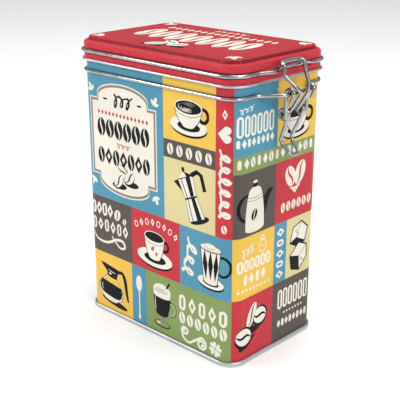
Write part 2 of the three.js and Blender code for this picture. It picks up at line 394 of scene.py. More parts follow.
def stroke(ink, line, width, ends=None):
    """An inked line as short quads. It tapers to the width `ends` at both of its ends."""
    spread = []
    for i, (x, y) in enumerate(line):
        before, after = line[max(i - 1, 0)], line[min(i + 1, len(line) - 1)]
        way = Vector((after[0] - before[0], after[1] - before[1])).normalized()
        swell = math.sin(math.pi * i / (len(line) - 1))
        half = (width if ends is None else ends + (width - ends) * swell) / 2
        spread.append(((x - way.y * half, y + way.x * half), (x + way.y * half, y - way.x * half)))
    return [(ink, [a[0], b[0], b[1], a[1]]) for a, b in zip(spread, spread[1:])]


def ring(ink, x, y, rx, ry, width):
    return stroke(ink, bend(x, y, rx, ry, 0, 360, 17), width)


def put(shapes, x=0, y=0, tilt=0, size=1):
    """Shapes turned by tilt degrees, scaled, and moved to a place."""
    cos, sin = size * math.cos(math.radians(tilt)), size * math.sin(math.radians(tilt))

    def moved(outline):
        return [(x + u * cos - v * sin, y + u * sin + v * cos) for u, v in outline]

    return [(ink, moved(outline)) for ink, outline in shapes]


def row(ornaments, x0, x1, y):
    """Ornaments spread evenly along a line, each with its middle on it."""
    shapes = []
    for ornament, t in zip(ornaments, steps(len(ornaments))):
        shapes += put(ornament, x0 + (x1 - x0) * t, y)
    return shapes


# ---------------------------------------------------------------- ornaments, used where rows run

def bean(wide, tall, slit="black", ink="cream"):
    """A coffee bean standing up, with its wavy slit."""
    line = [(0.11 * wide * math.sin(math.tau * t), tall * (t - 0.5) * 0.97) for t in steps(9)]
    return [(ink, oval(0, 0, wide / 2, tall / 2))] + stroke(slit, line, 0.17 * wide, 0.05 * wide)


def shaded_bean(wide, tall):
    """A bean with a dark edge, as the larger pictures have it."""
    edge = [("black", oval(0.06 * wide, -0.05 * tall, wide * 0.55, tall * 0.54))]
    return edge + bean(wide, tall)


def gem(wide, tall, heart=None, ink="cream"):
    """An upright lozenge, with a smaller one inside it."""
    shapes = [(ink, lozenge(0, 0, wide / 2, tall / 2))]
    if heart:
        shapes.append((heart, lozenge(0, 0, wide / 5, tall / 5)))
    return shapes


def pill(wide, tall, slot=None, ink="cream"):
    """An upright bar with round ends, with a slot inside it."""
    half, reach = wide / 2, (tall - wide) / 2
    shapes = [(ink, bend(0, reach, half, half, 0, 180, 7) + bend(0, -reach, half, half, 180, 360, 7))]
    if slot:
        shapes += put(pill(wide * 0.32, tall - wide * 0.7, ink=slot))
    return shapes


def dot(radius):
    return [("cream", oval(0, 0, radius, radius))]


def swash(length, high, waves, width, ink="cream"):
    """A running flourish of leaning loops, thick downwards and thin upwards."""
    line, shapes = [], []
    for t in steps(waves * 18 + 1):
        turn = math.tau * waves * t
        y = high / 2 * (0.82 + 0.18 * math.cos(2.3 * turn)) * math.cos(turn)
        line.append((length * (t - 0.5) + 0.4 * length / waves * math.sin(turn) + 0.3 * y, y))
    for a, b in zip(line, line[1:]):
        downwards = b[1] < a[1]
        shapes += stroke(ink, [a, b], width if downwards else 0.62 * width)
        shapes.append((ink, bend(*b, 0.31 * width, 0.31 * width, 0, 300, 6)))
    return shapes


def leaf(long):
    """One pointed leaf growing up from the origin."""
    middle, wide = long / 2, long * 0.24
    right = bend(0, middle, wide, middle, -90, 90, 6)
    return [("cream", right + bend(0, middle, wide, middle, 90, 270, 6)[1:-1])]


def sprig(long):
    """Three leaves."""
    side = leaf(long * 0.72)
    return leaf(long) + put(side, 0.2, 0, -52) + put(side, -0.2, 0, 52)


def heart(size):
    """A plain heart, point down, size across."""
    half = size / 2
    right = bend(half / 2, 0, half / 2, half * 0.55, -20, 180, 9)
    left = bend(-half / 2, 0, half / 2, half * 0.55, 0, 200, 9)
    return [("cream", right + left + [(0, -half * 1.25)])]


def spiral(x, y, first, last, start, turn):
    """A line round (x, y) whose radius goes evenly from first to last."""
    line = []
    for t in steps(22):
        radius, angle = first + (last - first) * t, math.radians(start + turn * t)
        line.append((x + radius * math.cos(angle), y + radius * math.sin(angle)))
    return line


def scroll():
    """A line that rises from a small curl, dips, and rolls up in a larger one."""
    left = spiral(-7, 3.2, 0.9, 2.6, -270, 450)
    right = spiral(5.5, -0.4, 3.8, 0.9, 90, -560)
    middle = curve([left[-1], (-8.4, -0.8), (-4.2, -2.9), (0.2, -0.2), right[0]])
    return stroke("cream", left + middle[1:-1] + right, 1.5)


# ---------------------------------------------------------------- pictures

def edged(sides, edge, drop=0):
    """A pale vessel over its own black outline."""
    return [("black", vessel([(y - drop, wide + edge) for y, wide in sides])), ("cream", vessel(sides))]


def slab(low, high, bottom, top):
    """Four corners, symmetric about the middle, from two half widths."""
    return [(-bottom, low), (bottom, low), (top, high), (-top, high)]


def saucer(half, low):
    """A saucer seen from a little above, with a dark underside and well."""
    return [
        ("black", oval(0.3, low - 0.9, half, half * 0.4)),
        ("cream", oval(0, low, half, half * 0.38)),
        ("black", oval(0.02 * half, low - 0.02 * half, half * 0.62, half * 0.2)),
    ]


def cup(mouth, depth, foot, plate):
    """A cup on its saucer, with the middle of its mouth at the origin."""
    sides = [(-depth * t, mouth + (foot - mouth) * t**2.2) for t in steps(7)]
    return [
        *saucer(plate, -depth),
        *ring("black", mouth * 1.12, -depth * 0.3, mouth * 0.34, mouth * 0.36, 0.21 * mouth),
        *edged(sides, 0.35, 0.25),
        *stroke("black", bend(0, -depth * 0.12, mouth * 0.99, mouth * 0.4, 195, 345, 11), 0.25),
        ("cream", oval(0, 0, mouth * 1.05, mouth * 0.42)),
        ("black", oval(0, 0, mouth * 0.97, mouth * 0.36)),
    ]


def crema(reach):
    """Pale curls on the coffee."""
    shapes = []
    for k, t in enumerate((0.3, 0.52, 0.74)):
        rx, ry = reach * t, reach * t * 0.36
        shapes += stroke("cream", bend(-0.08 * reach, 0, rx, ry, 200 - 25 * k, 330 - 15 * k, 8), 0.5, 0.15)
        shapes += stroke("rule", bend(0.05 * reach, 0, rx, ry, 20 + 12 * k, 130 + 8 * k, 8), 0.4, 0.12)
    return shapes


def moka_pot():
    """A faceted stove-top pot, standing on the origin."""
    waist, top, wide, narrow = 12.4, 24, 5.6, 4.3
    brim = wide + 0.4
    handle = [(4.6, top + 0.4), (9.6, top + 1.2), (11.8, top - 1.2), (11.2, top - 9.6)]
    shapes = [("black", oval(1.6, 0.2, 7.2, 2))]
    for low, high, bottom, upper in ((0.6, waist, wide, narrow), (waist + 1, top, narrow, wide)):
        shapes += [
            ("black", slab(low, high, bottom + 0.3, upper + 0.3)),
            ("cream", slab(low, high, bottom, upper)),
            ("black", [(0, low), (bottom * 0.62, low), (upper * 0.62, high), (0, high)]),
            *stroke("black", [(-bottom * 0.6, low), (-upper * 0.6, high)], 0.6),
        ]
    return shapes + [
        ("black", slab(waist, waist + 0.9, 4.7, 4.7)),
        ("black", [(-wide, top), (-9.3, top - 0.4), (-5.2, top - 6.5)]),
        ("cream", [(-brim, top), (brim, top), (0, top + 3.2)]),
        ("black", [(1, top), (brim, top), (0, top + 3.2)]),
        *stroke("black", [(-brim, top), (brim, top)], 0.5),
        ("black", oval(0, top + 4.3, 1.1, 1.5)),
        *stroke("black", handle, 2.5),
    ]


def tall_mug():
    """A tall mug with a harlequin band and foam on top, standing on the origin."""
    high, mouth = 19.5, 7
    shapes = saucer(9.2, 0.4) + ring("black", mouth + 1.4, 11.4, 4.6, 5.4, 1.5)
    shapes += edged([(high, mouth), (0.6, 4.7)], 0.45)
    for k in (-1, 0, 1):
        left, right = 3.85 * k - 1.75, 3.85 * k + 1.75
        shapes.append(("black", [(3.1 * k, 1.4), (right, 10.4), (4.4 * k, 18.8), (left, 10.4)]))
    return shapes + [
        ("black", oval(0, high, mouth + 0.7, 2.1)),
        ("cream", oval(0, high + 0.3, mouth + 0.3, 1.9)),
        ("cream", oval(-0.4, high + 1.3, mouth * 0.62, 1.6)),
        *stroke("rule", bend(-0.4, high + 1, mouth * 0.5, 1.1, 180, 350, 9), 0.35),
        *stroke("rule", bend(0, high + 0.2, mouth * 0.8, 1.5, 190, 350, 9), 0.3),
    ]


def glass_jug(ground):
    """A round glass coffee jug, standing on the origin."""
    handle = curve([(3, 16.8), (7, 18.6), (9.6, 15.4), (11.4, 9.5), (13.2, 4.6)], 5)
    return [
        ("black", oval(3.4, -0.3, 9.5, 1.7)),
        *edged([(14, 2.9), (11.4, 5.2), (8.6, 8), (5.4, 9), (2.6, 8.2), (1, 5.6)], 0.4),
        (ground, vessel([(14, 2.6), (11.4, 4.8), (9.4, 7)], 0.1)),
        ("black", vessel([(9.6, 7.3), (7, 8.4), (4.4, 8.2), (3, 7)], 0.16)),
        *stroke("cream", [(-6.6, 7.5), (-6.9, 5.4), (-5.8, 3.6)], 0.5, 0.2),
        ("black", vessel([(19, 5.4), (16.4, 4), (13.4, 3.6)], 0.2)),
        ("black", [(-4.8, 19.2), (-9.4, 18.6), (-3.6, 15)]),
        *stroke("cream", bend(0, 16.8, 3, 0.8, 190, 320, 7), 0.5, 0.2),
        ("cream", oval(-1.6, 14.6, 1, 0.5)),
        *stroke("black", handle, 2.3, 1.1),
    ]


def spoon():
    """A pale spoon, with the end of its handle at the origin."""
    bowl, end = oval(0, 22.8, 2.5, 5), oval(0, 1.6, 1, 1.9)
    return [("cream", bowl), ("cream", end)] + stroke("cream", [(0, 0.2), (0, 5), (0, 12), (0, 18.5)], 0.9)


def stemmed_glass(ground):
    """A handled glass of black coffee with cream on it, standing on the origin."""
    folds = []
    for k in range(3):
        folds += stroke("rule", bend(-0.4, 19.6 + 0.9 * k, 5 - 1.3 * k, 1.3, 195, 345, 9), 0.35)
    return [
        ("black", oval(0, 0.9, 5.9, 2.1)),
        (ground, oval(0, 1.1, 5.2, 1.6)),
        ("cream", oval(-2.4, 1.1, 1.6, 0.5)),
        ("rule", vessel([(6, 2.2), (3.6, 0.8), (1.6, 2)], 0.2)),
        *ring("black", 7, 11, 3, 3.7, 0.5),
        *ring("cream", 7, 11, 2.5, 3.2, 0.3),
        ("black", vessel([(18.6, 6.3), (12, 5.8), (7, 4.4)], 0.45)),
        ("cream", vessel([(20, 6.2), (16.5, 6)], 0.22)),
        *stroke("cream", [(-4.8, 15.5), (-4.9, 12), (-4.2, 8)], 0.5, 0.25),
        ("cream", bend(0, 19.6, 6.3, 3.6, 0, 180, 12)),
        *folds,
        *stroke("black", [(3.2, 21.5), (5.6, 25)], 1.1),
    ]


def enamel_pot():
    """A tall enamel pot with a black spout and knob, standing on the origin."""
    spout = [(5.6, 4.4), (8.4, 7.4), (11.4, 15.6), (14.4, 19.4), (10.6, 19.6), (8, 17.4), (5.2, 14.6)]
    return [
        *stroke("black", bend(-6.6, 12.6, 5.4, 6.8, 62, 285, 14), 2, 1.3),
        ("black", spout),
        *edged([(20.5, 4.9), (17.5, 6), (9, 7.2), (0.6, 7.4)], 0.3),
        ("cream", bend(0, 20.3, 4.9, 3, 0, 180, 10)),
        *stroke("rule", bend(0, 18.4, 5.6, 1.1, 185, 355, 9), 0.35),
        *stroke("rule", bend(0, 16.9, 6.1, 1.2, 185, 355, 9), 0.35),
        ("black", slab(23, 25.4, 1.4, 1.9)),
        ("cream", oval(0, 25.8, 1.9, 0.8)),
        *put(bean(4.2, 6.4, "cream", "black"), -0.4, 8, -28),
    ]


def mean(points):
    return [sum(values) / len(points) for values in zip(*points)]


def resized(outline, middle, size):
    return [tuple(m + (value - m) * size for value, m in zip(point, middle)) for point in outline]


def sugar_cube(corners, faces):
    """A lump of sugar from its corners and the corner numbers of its faces, the last one dark."""
    outlines = [[corners[k] for k in face] for face in faces]
    shapes = [("black", resized(outline, mean(corners), 1.09)) for outline in outlines]
    for ink, outline in zip(("cream", "cream", "black"), outlines):
        shapes.append((ink, resized(outline, mean(outline), 0.95)))
    return shapes


def sugar_lumps():
    """Two lumps, one over the other."""
    upper = [(2.1, 6.8), (7.7, 2.2), (5.6, -5.6), (-1.4, -6.9), (-7.2, -3.9), (-4.8, 4.3), (-2.1, -1.9)]
    lower = [(0.4, 8), (7.2, 5.3), (7.7, -2), (1.4, -8.3), (-5.6, -5.9), (-6.9, 1.8), (0.7, -0.2)]
    shapes = put(sugar_cube(upper, ((0, 6, 4, 5), (0, 1, 2, 6), (6, 2, 3, 4))), 18.8, 62.8)
    shapes += put(sugar_cube(lower, ((0, 1, 6, 5), (1, 2, 3, 6), (6, 3, 4, 5))), 18.8, 49.2)
    for k in range(5):
        shapes += stroke("rule", [(16.4 + 0.7 * k, 66.4 - 0.9 * k), (16.1 + 0.6 * k, 64.6 - 0.8 * k)], 0.3)
        shapes += stroke("rule", [(21 + 0.7 * k, 48.2 - 0.5 * k), (21.2 + 0.7 * k, 46.4 - 0.4 * k)], 0.3)
    return shapes


def loose_beans():
    """Two beans leaning together and a third beside them, with their shadows."""
    shapes = [
        ("black", [(-4.6, -0.6), (2, -2.4), (10.6, 0.6), (4.4, -5), (-1.4, -6.6)]),
        ("black", [(-12.4, -7.4), (-6, -9), (2.6, -6.4), (-5, -13.2), (-10.8, -14.4)]),
    ]
    for wide, tall, x, y, turn, drop in (
        (6, 15, -1.6, 5, -24, 1),
        (9.6, 10.4, 5.2, 2.8, 76, 1.2),
        (10, 11.6, -7.6, -6.2, 76, 1.6),
    ):
        shapes += put([("black", oval(0, 0, (wide + 1) / 2, (tall + 1) / 2))], x, y - drop, turn)
        shapes += put(shaded_bean(wide, tall), x, y, turn)
    return shapes


def bean_pile():
    """Three beans and their shadows, as the plaque and the lid have them."""
    shapes = [("black", oval(-4, -5.6, 6, 2)), ("black", oval(6.2, -2.8, 5.8, 1.9))]
    shapes += put(shaded_bean(5.6, 9.4), -1.2, 3.4, 58)
    shapes += put(shaded_bean(6.2, 9.6), -4.6, -2.6, -36)
    return shapes + put(shaded_bean(6.2, 9.4), 4.6, 0.8, -46)


def plaque():
    """The arched label plate: a pale edge, a grey rule and a pale field, about its middle."""
    half, foot, notch, high = 27, 20.8, 23.2, 32.3

    def outline(inset):
        wide, step, tall, top = half - inset, foot - inset * 0.4, notch - inset, high - inset
        quarter = [(wide, tall - 0.6), (step, tall - 0.6)]
        for k in range(2, 16):
            angle = math.radians(6 * k)
            quarter.append((step * math.cos(angle), tall + 2 + (top - tall - 2) * math.sin(angle)))
        upper = quarter + [(-x, y) for x, y in reversed(quarter)]
        return upper + [(-x, -y) for x, y in upper]

    shapes = [("cream", outline(0)), ("rule", outline(0.7)), ("cream", outline(2.1))]
    shapes += put(swash(15, 7.4, 3, 1.5, "black"), 0, 22.4)
    for x0, x1 in ((-15.4, -12.2), (12.2, 15.4)):
        shapes += stroke("black", [(x0, 22.6), (x1, 22.6)], 1)
    shapes += row([gem(2, 2.9, ink="red")] * 14, -19.6, 19.6, 14.6)
    shapes += row([bean(6.9, 10.6, "cream", "black")] * 6, -17.9, 17.9, 6)
    shapes += put(swash(11, 2.6, 3, 0.6, "red"), 0, -2.8)
    marks = [bean(5.6, 9.4, "cream", "black"), gem(6.2, 10, "cream", "black")]
    shapes += row([marks[k % 2] for k in range(7)], -18.6, 18.6, -10.4)
    return shapes + put(bean_pile(), 0, -20.6)


# ---------------------------------------------------------------- the two kinds of label face

def wide_face():
    """The label on a long wall, from corner middle to corner middle, with u = 0 in its middle."""
    top, split, band = ART_TOP, 8.6, 45.8
    shapes = [
        ("blue", block(-WIDE_END, ROW_1, split, top)),
        ("yellow", block(split, BAR_HIGH, band, top)),
        ("grey", block(split, BAR_LOW, band, BAR_HIGH)),
        ("sand", block(split, ROW_1, band, BAR_LOW)),
        ("red", block(band, ROW_1, WIDE_END, top)),
        ("grey", block(-WIDE_END, ROW_2, -18.4, ROW_1)),
        ("red", block(-18.4, ROW_2, 20, ROW_1)),
        ("blue", block(20, ROW_2, WIDE_END, ROW_1)),
        ("yellow", block(-WIDE_END, FOOT_Z, -19.3, ROW_2)),
        ("blue", block(-19.3, FOOT_Z, -7.4, ROW_2)),
        ("green", block(-7.4, FOOT_Z, WIDE_END, ROW_2)),
    ]
    shapes += put(plaque(), -23.7, 109.9)
    for x, y, tilt in ((-49, 135.6, 24), (1.6, 135, -24), (-49.2, 84.4, 156), (1.4, 84.4, -156)):
        shapes += put(sprig(5), x, y, tilt)

    shapes += put(cup(9.4, 9.6, 4.2, 13) + crema(8.6), 26.8, 138.2)
    shapes += row([bean(4.6, 6.4, "grey")] * 5, 13.4, 41, 114)
    shapes += put(moka_pot(), 33.4, 78.4, 22)

    middle = (band + WIDE_END) / 2 + 0.6
    shapes += put(gem(3, 5.4, "red"), middle, 138.6)
    shapes += put(heart(8.6), middle + 1, 128.6, -90)
    shapes += put(swash(36, 6.4, 6, 2), middle, 101.5, 90)
    shapes += put(bean(3.4, 4.8, "red"), middle, 78.6)

    shapes += row([pill(4, 8, "grey"), gem(5, 8.4, "grey")] * 2, -51.2, -36.8, 66)
    shapes += put(bean(5, 7.4, "grey"), -30.6, 65, -24) + put(bean(3, 4.2, "grey"), -24.6, 62.4, -24)
    shapes += row([pill(3.6, 7.6, "grey"), gem(4.6, 7.8, "grey")] * 3, -51, -24, 56.2)
    loop = [(-53.4, 50.6), (-48, 46), (-40, 45.8), (-32, 49.4)]
    loop += [(-26.4, 49.6), (-25, 46.2), (-29.6, 45.4), (-36, 50.8)]
    shapes += stroke("cream", curve(loop), 1.7, 0.8)

    for k in range(8):
        lean = 25 * (k - 3.5) / 3.5
        x, y = 45 * math.sin(math.radians(lean)), 45 * math.cos(math.radians(lean)) + 24.2
        ornament = gem(3, 4.6, "red") if k % 2 else ring("cream", 0, 0, 1.2, 1.7, 0.6)
        shapes += put(ornament, 1.2 + x * 0.82, y - 0.4, -lean)
    shapes += put(cup(7.6, 12.6, 4.2, 14), 0, 60.2)
    for wide, tall, x, y, tilt in ((2, 3.2, -1.4, 53, -20), (1.6, 2.4, 1.6, 50.4, 30)):
        shapes += put(bean(wide, tall, "cream", "black"), x, y, tilt)

    shapes += put(swash(21, 8, 3, 2), 27.6, 55.4, 78)
    shapes += put(tall_mug(), 42.6, 46)

    shapes += put(glass_jug("yellow"), -39.4, 8.6, -8, 1.18)
    shapes += put(spoon(), -13.4, 5)
    shapes += put(stemmed_glass("green"), 5.4, 7.4, 0, 1.12)
    tall = [pill(5, 9.6, "green"), gem(5.8, 10, "green")]
    shapes += row([tall[k % 2] for k in range(5)], 21.6, 51.4, 27.6)
    shapes += row([bean(4.7, 7.4, "green")] * 6, 21.4, 51.6, 18.2)
    shapes += put(scroll(), 30.6, 7.6)
    for k in range(4):
        shapes += put(put(heart(4.6), 0, 3.1), 46.4, 8, 90 * k + 30)
    return shapes


def narrow_face():
    """The label on a short wall, from corner middle to corner middle, with u = 0 in its middle."""
    top, column, edge = ART_TOP, -2.6, 8
    shapes = [
        ("blue", block(-NARROW_END, STRIP_HIGH, column, top)),
        ("yellow", block(column, STRIP_HIGH, NARROW_END, top)),
        ("green", block(-NARROW_END, STRIP_LOW, NARROW_END, STRIP_HIGH)),
        ("grey", block(-NARROW_END, ROW_1, column, STRIP_LOW)),
        ("red", block(column, ROW_1, NARROW_END, STRIP_LOW)),
        ("yellow", block(-NARROW_END, ROW_2, column, ROW_1)),
        ("blue", block(column, ROW_2, edge, ROW_1)),
        ("sand", block(edge, ROW_2, NARROW_END, ROW_1)),
        ("red", block(-NARROW_END, FOOT_Z, column, ROW_2)),
        ("grey", block(column, FOOT_Z, NARROW_END, ROW_2)),
    ]
    shapes += put(swash(10, 2.6, 3, 0.6), -26.6, 140.4, 8)
    shapes += row([pill(4, 11, "blue")] * 6, -30.8, -7.6, 132.2)
    shapes += row([pill(2.1, 4.4), gem(3.2, 4.8)] * 4, -31.8, -6.8, 123.6)

    shapes += put(cup(9.4, 9.6, 4.6, 11.5), 12.6, 133.4)
    marks = [pill(2.3, 5.2), gem(3.8, 5.8), bean(3.6, 5.6, "green")]
    shapes += row([marks[k % 3] for k in range(13)], -31, 26.4, STRIP_LOW + 5)

    shapes += put(enamel_pot(), -19.2, 76.4)
    shapes += put(bean(8.4, 12, "red"), 9.6, 98.2, 20)
    shapes += put(bean(8.4, 13.8, "red"), 17.8, 98.8, -24)
    shapes.append(("cream", [(9, 92.2), (13.4, 91.4), (18.6, 92.6), (13.8, 87.8)]))
    shapes += row([bean(3.6, 5.8, "red")] * 6, 4, 26.6, 81.6)

    shapes += put(swash(10, 5, 3, 0.9), -24, 65, 14)
    shapes += ring("cream", -12.4, 65, 3, 3.4, 0.6) + put(heart(1.8), -12.4, 65.2)
    shapes += ring("cream", -12.4, 69.8, 1.7, 1, 0.6)
    shapes += row([pill(4, 7, "yellow")] * 6, -29.6, -7.6, 57.2)
    shapes += row([pill(2.4, 6.2), gem(4, 6.6)] * 2, -25.6, -11.2, 49)
    shapes += row([dot(0.85)] * 9, -30.6, -6.6, 43)

    for k in range(5):
        ornament = pill(3.9, 6, "blue") if k % 2 else gem(5, 6.6, "blue")
        shapes += put(ornament, 2.7, 68 - 6.2 * k, 90)
    shapes += sugar_lumps()

    shapes += put(loose_beans(), -18.4, 21.8)
    shapes += row([pill(4, 12, "grey")] * 6, 4, 26.8, 27.4)
    shapes += row([dot(0.7)] * 7, 8, 23.6, 18.4)
    return shapes + row([gem(3, 5), pill(2.2, 4.7)] * 4, 3.6, 27.4, 12.6)


def lid_print():
    """The lid's panel: sprigs in its corners, rows of ornaments, and a few beans."""
    edge_x, edge_y = HALF_LENGTH - 10, HALF_WIDTH - 10
    shapes = []
    for side_x, side_y in ((-1, -1), (1, -1), (1, 1), (-1, 1)):
        tilt = 90 - 45 * side_y if side_x < 0 else 45 * side_y - 90
        shapes += put(sprig(7), side_x * edge_x, side_y * edge_y, tilt)
    shapes += row([bean(10.4, 25, "lid_panel")] * 7, -37, 34, -0.5)
    shapes += row([pill(2.4, 6.2), gem(3.6, 6.6)] * 8, -39, 38, 18.2)
    shapes += put(swash(24, 4, 5, 0.8), 0, 26)
    return shapes + put(bean_pile(), -2, -21.6, 0, 1.3)


# ---------------------------------------------------------------- sheet-metal pieces

def wall_profiles():
    """The wall's outside, up to the top of the neck, and the rest of its section."""
    bead_r = WIRE_R + GAP
    bead = bow(BODY_WIRE_OFF, BODY_WIRE_Z, bead_r, 240, 120, 12)
    groove = bow(BODY_WIRE_OFF, BODY_WIRE_Z, bead_r + SHEET, 128, 232, 12)
    curl = bow(NECK_OFF - CURL_R, NECK_TOP_Z, CURL_R, 0, 270, 14)
    drawn_from, drawn_to, in_neck = NECK_Z - 0.9, NECK_Z + 0.6, NECK_OFF - SHEET
    draw = [(0, drawn_from), (NECK_OFF * 0.5, NECK_Z - 0.2), (NECK_OFF, drawn_to)]
    inside = curl + [(in_neck, NECK_TOP_Z - CURL_R), (in_neck, drawn_to), (-SHEET, drawn_from)]
    return [(0, FOOT_Z)] + bead + draw + curl[:1], inside + groove + [(-SHEET, FOOT_Z), (0, FOOT_Z)]


OUTSIDE, INSIDE = wall_profiles()
WALL = Profile(OUTSIDE + INSIDE[1:])
WALL_ROWS = len(OUTSIDE) - 1
ART_TOP = FOOT_Z + WALL.lengths[WALL_ROWS - 3]


def body_wall():
    """The printed wall. Its outside follows the artwork, and its inside is a plain loft."""
    start = -WIDE_END - 2 * NARROW_END
    stop = start + ROUND
    rows = [FOOT_Z + length for length in WALL.lengths[: WALL_ROWS + 1]]
    shapes = []
    for s, face in ((-NARROW_S, narrow_face()), (0, wide_face()), (NARROW_S, narrow_face())):
        shapes += put(face, s)
    # The back label begins in the middle of its left corner, where the sheet is cut open.
    shapes += put(wide_face(), NARROW_S + NARROW_END + WIDE_END)
    blocks = [outline for _, outline in shapes if len(outline) == 4]
    ends = {round(x, 6) for outline in blocks for x, y in outline if y in (FOOT_Z, ART_TOP)}
    turns = [start + (s - start) % ROUND for s in corner_columns()]
    columns = {round(s, 6) for s in turns} | ends
    columns = sorted({s for s in columns if start < s < stop} | {start, stop})
    seam = sorted(set(rows) | {ROW_1, ROW_2, STRIP_LOW, STRIP_HIGH})
    edge = [(s, rows[0]) for s in columns] + [(stop, t) for t in seam[1:-1]]
    edge += [(s, rows[-1]) for s in reversed(columns)] + [(start, t) for t in reversed(seam[1:-1])]
    lines = [((start, t), (stop, t)) for t in rows[1:-1]]
    curved = [s for s in columns[1:-1] if min(abs(s - turn) for turn in turns) < 1e-4]
    lines += [((s, rows[0]), (s, rows[-1])) for s in curved]
    shapes.insert(0, ("bare_tinplate", block(start, rows[0], stop, rows[-1])))
    places, triangles, picks = triangulated(edge, lines, shapes)

    skin = Skin("tin_wall")
    spots = []
    for place in places:
        s, t = nearest(place.x, columns), nearest(place.y, seam)
        foot, out = around(start if s == stop else s)
        spot, _ = WALL.where(t - FOOT_Z)
        spots.append((skin.point(foot + raised(out, spot)), out, t))
    for triangle, ink in zip(triangles, picks):
        corners = [spots[i] for i in triangle]
        _, segment = WALL.where(sum(t for _, _, t in corners) / 3 - FOOT_Z)
        normals = [raised(out, wall_lean(segment, t - FOOT_Z)) for _, out, t in corners]
        skin.face([point for point, _, _ in corners], normals, ink)
    loft(skin, Profile(INSIDE), columns[:-1], lambda i: "bare_tinplate")
    lock_seam(skin)
    return skin


def nearest(value, choices):
    """The choice that a value stands for, or the value itself where none is close."""
    choice = min(choices, key=lambda other: abs(other - value))
    return choice if abs(choice - value) < 1e-3 else value


def wall_lean(segment, length):
    """The wall's normal at a place on one of its segments."""
    if abs(length - WALL.lengths[segment]) < 1e-3:
        return WALL.normal(segment, 0)
    if abs(length - WALL.lengths[segment + 1]) < 1e-3:
        return WALL.normal(segment, 1)
    return WALL.straight(segment)


def lock_seam(skin):
    """The folded seam stands proud inside the back wall, with rounded edges."""
    middle, half, low, high = -20, 2, 4.5, 143.5
    face, fold = HALF_WIDTH - SHEET, half - 0.3
    section = [(half, 0.1), (half, -0.3), (fold, -0.6), (-fold, -0.6), (-half, -0.3), (-half, 0.1)]

    def at(place, z):
        return skin.point((middle + place[0], face + place[1], z))

    for z, up in ((low, -1), (high, 1)):
        end = [at(place, z) for place in section][::-up]
        skin.face(end, [Vector((0, 0, up))] * len(end), "bare_tinplate")
    for a, b in zip(section, section[1:] + section[:1]):
        out = Vector((a[1] - b[1], b[0] - a[0], 0)).normalized()
        skin.face([at(a, low), at(a, high), at(b, high), at(b, low)], [out] * 4, "bare_tinplate")


def base_panel():
    """The pressed base: a recessed panel with a ridge, and the seamed rim that holds the wall."""
    rim, rim_top, rim_r, slot = 0.5, 2.6, 0.8, 0.6
    leg = -SHEET - GAP
    fold, slope, flat = leg - SHEET, leg - 1.2, leg - 2.4
    ridge, crest, ridge_foot = -7.4, -6.8, -6.2
    under, over = PANEL_Z + 0.5, PANEL_Z + 0.9
    skin = Skin("tin_base")
    profile = Profile([
        (ridge, under), (crest, under), (ridge_foot, PANEL_Z), (flat, PANEL_Z),
        (slope, PANEL_Z - 0.6), (fold, PANEL_Z - 1.1), (fold, 0.4), (fold + 0.4, 0), (rim, 0),
        *bow(rim, rim_r, rim_r, -70, 0, 5), *bow(rim, rim_top - rim_r, rim_r, 0, 70, 5),
        (rim, rim_top), (GAP, rim_top), (GAP, slot), (leg, slot),
        (leg, PANEL_Z + 1.2), (fold, PANEL_Z + 1.2), (slope, PANEL_Z),
        (flat, PANEL_Z + SHEET), (ridge_foot, PANEL_Z + SHEET), (crest, over), (ridge, over),
    ])
    loft(skin, profile, corner_columns(), lambda i: "bare_tinplate")
    flat_panel(skin, ridge, under, corner_columns(), False, "bare_tinplate")
    flat_panel(skin, ridge, over, corner_columns(), True, "bare_tinplate")
    return skin


